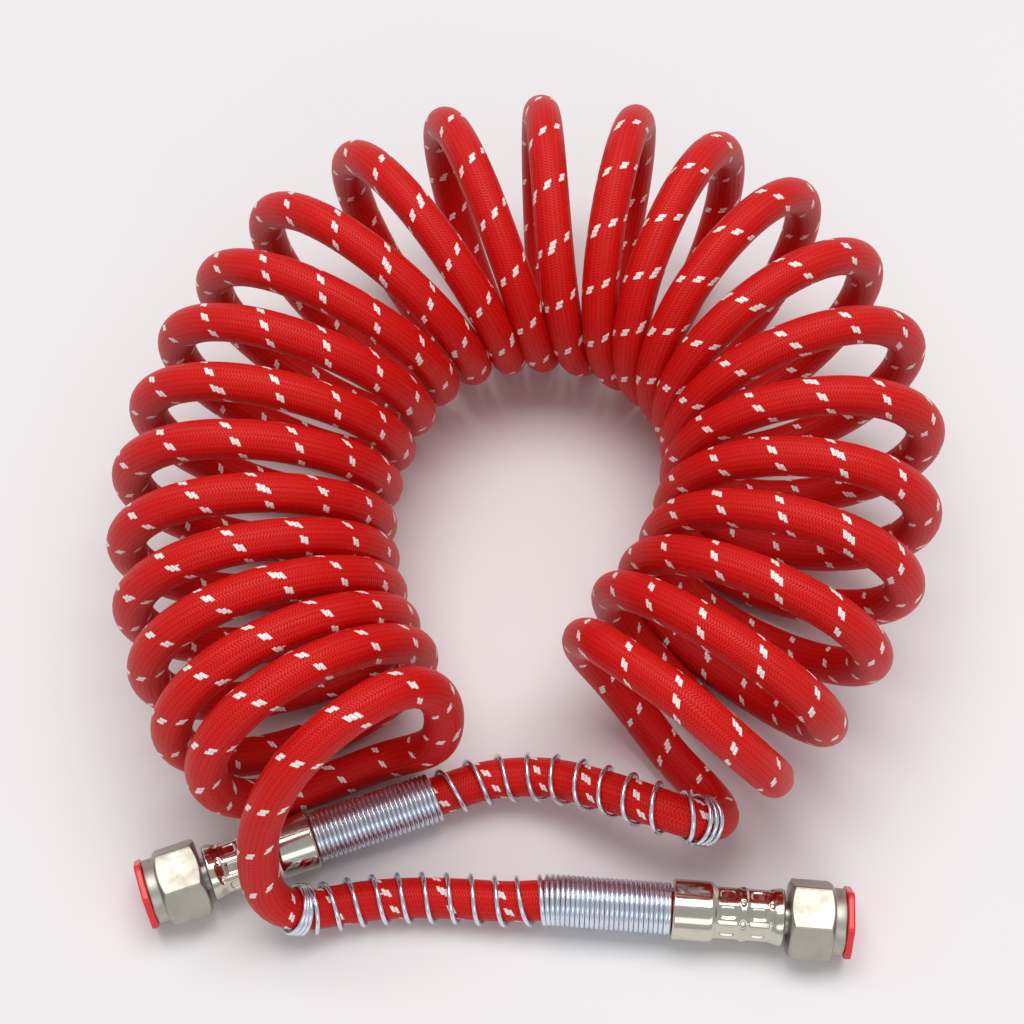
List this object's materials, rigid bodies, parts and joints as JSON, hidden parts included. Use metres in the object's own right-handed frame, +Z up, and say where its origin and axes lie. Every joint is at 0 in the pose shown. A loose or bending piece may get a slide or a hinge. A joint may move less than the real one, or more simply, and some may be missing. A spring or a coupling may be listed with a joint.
{
  "type": "coiled air hose",
  "caption": "Coiled braided air hose with crimped ferrules, steel guard springs, threaded swivel nuts and push-in dust plugs on its ends, laid in a C-shaped coil.",
  "frame": {"origin": "on the floor under the middle of the coil's box", "axes": "+Z up, -Y towards the side where the two ends lie, +X to the right seen from there"},
  "size_m": [0.3249, 0.3584, 0.109],
  "materials": {
    "braid": "tight glossy red textile braid with small white tracer marks",
    "liner": "smooth black",
    "spring": "bright zinc-plated wire",
    "ferrule": "polished nickel plate with crimp marks",
    "stem": "turned, plated",
    "nut": "satin nickel plate",
    "seal": "matt black",
    "plug": "moulded, slightly translucent"
  },
  "bodies": {
    "root": {"hose_coil": "braid", "hose_tail_a": "braid", "hose_tail_b": "braid", "hose_liner_a": "liner", "hose_liner_b": "liner", "hose_cover_a": "braid", "hose_cover_b": "braid", "guard_spring_a": "spring", "guard_spring_b": "spring", "ferrule_a": "ferrule", "ferrule_b": "ferrule", "hose_stem_a": "stem", "hose_stem_b": "stem", "seal_ring_a": "seal", "seal_ring_b": "seal"},
    "nut_a": {"swivel_nut_a": "nut"},
    "nut_b": {"swivel_nut_b": "nut"},
    "plug_a": {"dust_plug_a": "plug"},
    "plug_b": {"dust_plug_b": "plug"}
  },
  "joints": [
    {"name": "nut_a_spin", "type": "hinge", "parent": "root", "child": "nut_a", "pos_m": [0.0516, -0.1595, 0.0135], "axis": [0.9969, -0.0785, 0], "continuous": true},
    {"name": "nut_b_spin", "type": "hinge", "parent": "root", "child": "nut_b", "pos_m": [-0.0835, -0.1318, 0.0135], "axis": [-0.9415, -0.3371, 0], "continuous": true},
    {"name": "plug_a_pull", "type": "slide", "parent": "nut_a", "child": "plug_a", "axis": [0.9969, -0.0785, 0], "range_m": [0, 0.03]},
    {"name": "plug_b_pull", "type": "slide", "parent": "nut_b", "child": "plug_b", "axis": [-0.9415, -0.3371, 0], "range_m": [0, 0.03]}
  ]
}
